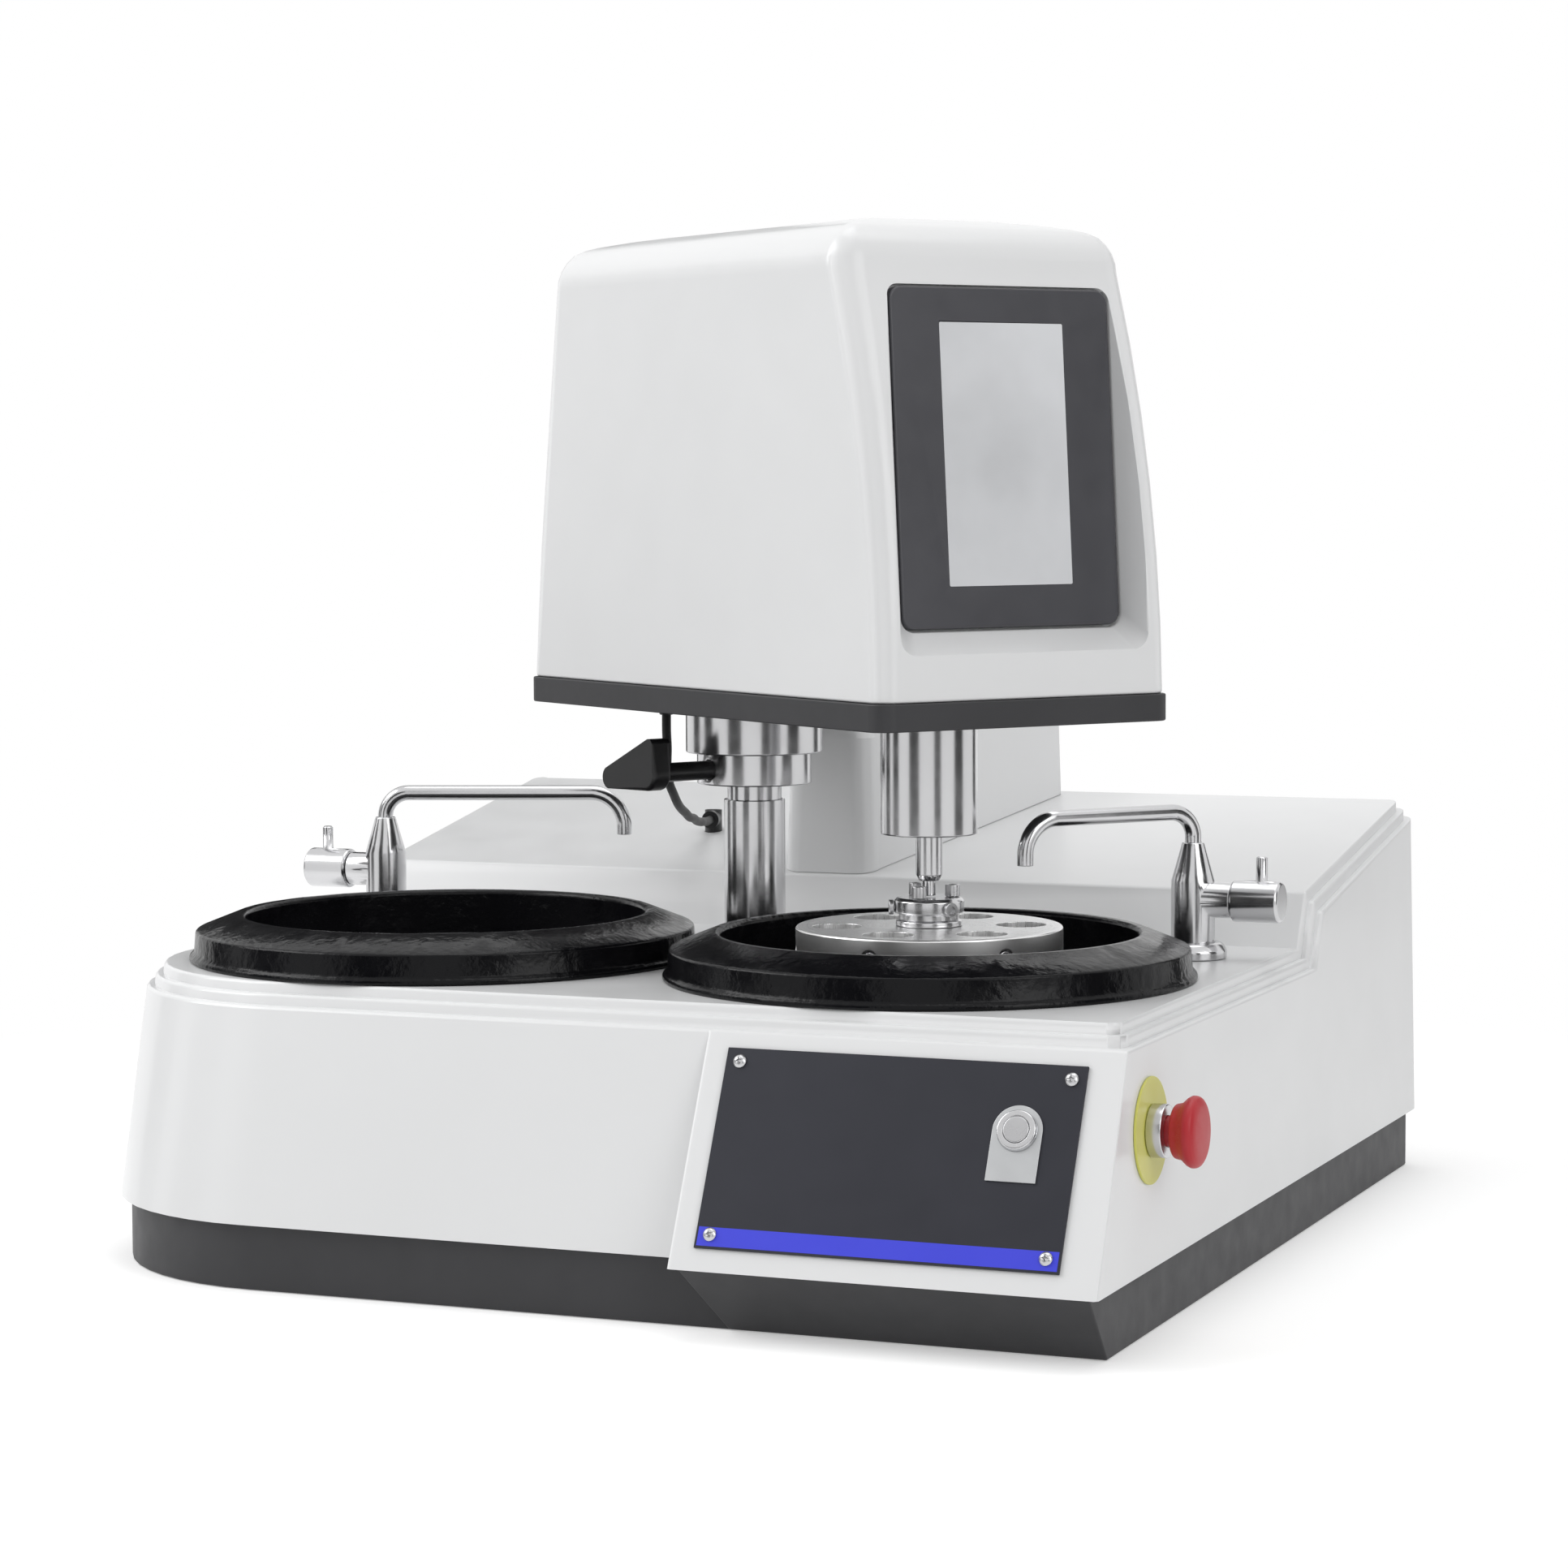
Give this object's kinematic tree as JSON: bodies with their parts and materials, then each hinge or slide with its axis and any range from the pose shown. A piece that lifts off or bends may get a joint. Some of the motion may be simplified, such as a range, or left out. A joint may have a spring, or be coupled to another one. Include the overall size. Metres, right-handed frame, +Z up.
{
  "type": "metallographic grinder-polisher",
  "caption": "Bench grinder-polisher with disc bowls, swivelling water taps and a swinging powered head that holds specimens over a working disc.",
  "frame": {"origin": "on the bench surface, at the head column's vertical axis", "axes": "+X to the machine's right, -Y to its front, where the control panel is, +Z up"},
  "size_m": [0.7164, 0.7422, 0.6298],
  "materials": {
    "shell_white": "gloss",
    "dark_paint": "satin",
    "steel_sheet": "brushed",
    "frame_steel": "satin",
    "bearing_steel": "ground",
    "motor_paint": "satin",
    "belt_rubber": "matt",
    "gloss_black": "gloss",
    "disc_metal": "turned",
    "abrasive_paper": "matt",
    "pulley_metal": "turned",
    "black_plastic": "matt",
    "chrome": "polished",
    "black_steel": "satin",
    "bezel_grey": "satin",
    "display_glass": "gloss",
    "screw_steel": "polished",
    "panel_grey": "satin",
    "yellow_plastic": "gloss",
    "red_plastic": "gloss",
    "cable_rubber": "matt",
    "brass": "turned",
    "grey_plastic": "matt"
  },
  "bodies": {
    "base": {"plinth": "dark_paint", "housing": "shell_white", "rear_tower": "shell_white", "rear_panel": "steel_sheet", "drive_frame": "frame_steel", "lift_cylinder": "frame_steel", "spindle_housings": "frame_steel", "spindle_bearings": "bearing_steel", "drive_motors": "motor_paint", "drive_belts": "belt_rubber", "bowls": "gloss_black", "column_foot": "black_plastic", "column_tube": "chrome", "panel_plate": "panel_grey", "panel_screws": "screw_steel", "button_plate": "steel_sheet", "button_ring": "chrome", "estop_label": "yellow_plastic", "estop_collar": "chrome", "tap_bodies": "chrome", "tap_rings": "chrome", "head_cable": "cable_rubber", "platform_gland": "black_plastic", "power_inlet": "black_plastic", "water_inlet": "brass", "drain_outlet": "grey_plastic"},
    "lift": {"column_rod": "chrome"},
    "head": {"clamp_collar": "chrome", "head_plate": "dark_paint", "head_cover": "shell_white", "head_motor": "motor_paint", "screen_frame": "bezel_grey", "screen_glass": "display_glass", "quill": "chrome", "head_gland": "black_plastic"},
    "clamp": {"clamp_screw": "black_steel", "clamp_lever": "black_plastic"},
    "sleeve": {"drive_sleeve": "bearing_steel"},
    "spindle": {"working_shaft": "chrome", "holder_hub": "chrome", "specimen_holder": "chrome", "holder_screws": "screw_steel"},
    "left_disc_set": {"left_disc": "disc_metal", "left_abrasive": "abrasive_paper", "left_spindle": "bearing_steel", "left_pulley": "pulley_metal"},
    "right_disc_set": {"right_disc": "disc_metal", "right_abrasive": "abrasive_paper", "right_spindle": "bearing_steel", "right_pulley": "pulley_metal"},
    "left_motor_set": {"left_motor_shaft": "bearing_steel", "left_motor_pulley": "pulley_metal"},
    "right_motor_set": {"right_motor_shaft": "bearing_steel", "right_motor_pulley": "pulley_metal"},
    "left_spout": {"left_spout": "chrome"},
    "right_spout": {"right_spout": "chrome"},
    "left_knob": {"left_knob": "chrome"},
    "right_knob": {"right_knob": "chrome"},
    "estop": {"estop_button": "red_plastic"},
    "power": {"power_button": "screw_steel"}
  },
  "joints": [
    {"name": "head_lift", "type": "slide", "parent": "base", "child": "lift", "axis": [0, 0, 1], "range_m": [0, 0.03]},
    {"name": "head_swing", "type": "hinge", "parent": "lift", "child": "head", "pos_m": [0, 0, 0.3], "axis": [0, 0, 1], "range_deg": [-12, 6]},
    {"name": "clamp_turn", "type": "hinge", "parent": "head", "child": "clamp", "pos_m": [-0.035, -0.06062, 0.293], "axis": [-0.5, -0.866, 0], "range_deg": [0, 75]},
    {"name": "sleeve_turn", "type": "hinge", "parent": "head", "child": "sleeve", "pos_m": [0.162, -0.116, 0.3], "axis": [0, 0, 1], "continuous": true},
    {"name": "spindle_feed", "type": "slide", "parent": "sleeve", "child": "spindle", "axis": [0, 0, 1], "range_m": [0, 0.018]},
    {"name": "left_disc_turn", "type": "hinge", "parent": "base", "child": "left_disc_set", "pos_m": [-0.162, -0.116, 0.12], "axis": [0, 0, 1], "continuous": true},
    {"name": "right_disc_turn", "type": "hinge", "parent": "base", "child": "right_disc_set", "pos_m": [0.162, -0.116, 0.12], "axis": [0, 0, 1], "continuous": true},
    {"name": "left_motor_turn", "type": "hinge", "parent": "base", "child": "left_motor_set", "pos_m": [-0.162, 0.19, 0.09], "axis": [0, 0, 1], "continuous": true},
    {"name": "right_motor_turn", "type": "hinge", "parent": "base", "child": "right_motor_set", "pos_m": [0.162, 0.19, 0.09], "axis": [0, 0, 1], "continuous": true},
    {"name": "left_spout_swing", "type": "hinge", "parent": "base", "child": "left_spout", "pos_m": [-0.28196, 0.03004, 0.24], "axis": [0, 0, 1], "range_deg": [-100, 60]},
    {"name": "right_spout_swing", "type": "hinge", "parent": "base", "child": "right_spout", "pos_m": [0.28196, 0.03004, 0.24], "axis": [0, 0, 1], "range_deg": [-60, 70]},
    {"name": "left_valve_turn", "type": "hinge", "parent": "base", "child": "left_knob", "pos_m": [-0.32, 0.03004, 0.21548], "axis": [-1, 0, 0], "range_deg": [-90, 0]},
    {"name": "right_valve_turn", "type": "hinge", "parent": "base", "child": "right_knob", "pos_m": [0.32, 0.03004, 0.21548], "axis": [1, 0, 0], "range_deg": [0, 90]},
    {"name": "estop_push", "type": "slide", "parent": "base", "child": "estop", "axis": [-0.9998, 0, -0.02], "range_m": [0, 0.004]},
    {"name": "power_push", "type": "slide", "parent": "base", "child": "power", "axis": [0, 0.8997, -0.4364], "range_m": [0, 0.0025], "stiffness_N_per_m": 800}
  ],
  "couplings": [
    {"joint": "left_motor_turn", "follows": "left_disc_turn", "ratio": 2},
    {"joint": "right_motor_turn", "follows": "right_disc_turn", "ratio": 2}
  ]
}
